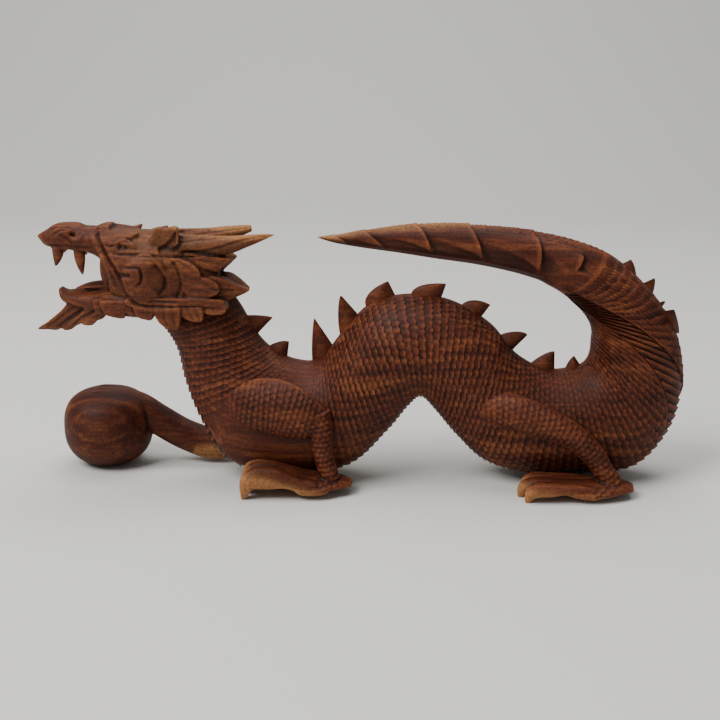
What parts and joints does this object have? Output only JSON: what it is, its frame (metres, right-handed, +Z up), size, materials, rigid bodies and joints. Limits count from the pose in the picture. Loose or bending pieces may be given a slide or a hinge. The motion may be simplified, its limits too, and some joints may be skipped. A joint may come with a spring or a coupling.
{
  "type": "wooden dragon carving",
  "caption": "One-piece carved wooden dragon with an arched scaled body, a tail turned forward over the back, standing on its feet and on the pearl it holds.",
  "frame": {"origin": "on the ground under the middle of the carving's box", "axes": "+X from the head towards the hind end, +Y towards the side with the pearl, +Z up"},
  "size_m": [0.2994, 0.0796, 0.1211],
  "materials": {
    "carved_wood": "hand-carved reddish brown heartwood with pale sapwood at its top and bottom, stained in the cuts and waxed to a satin"
  },
  "bodies": {
    "root": {"dragon": "carved_wood"}
  },
  "joints": []
}
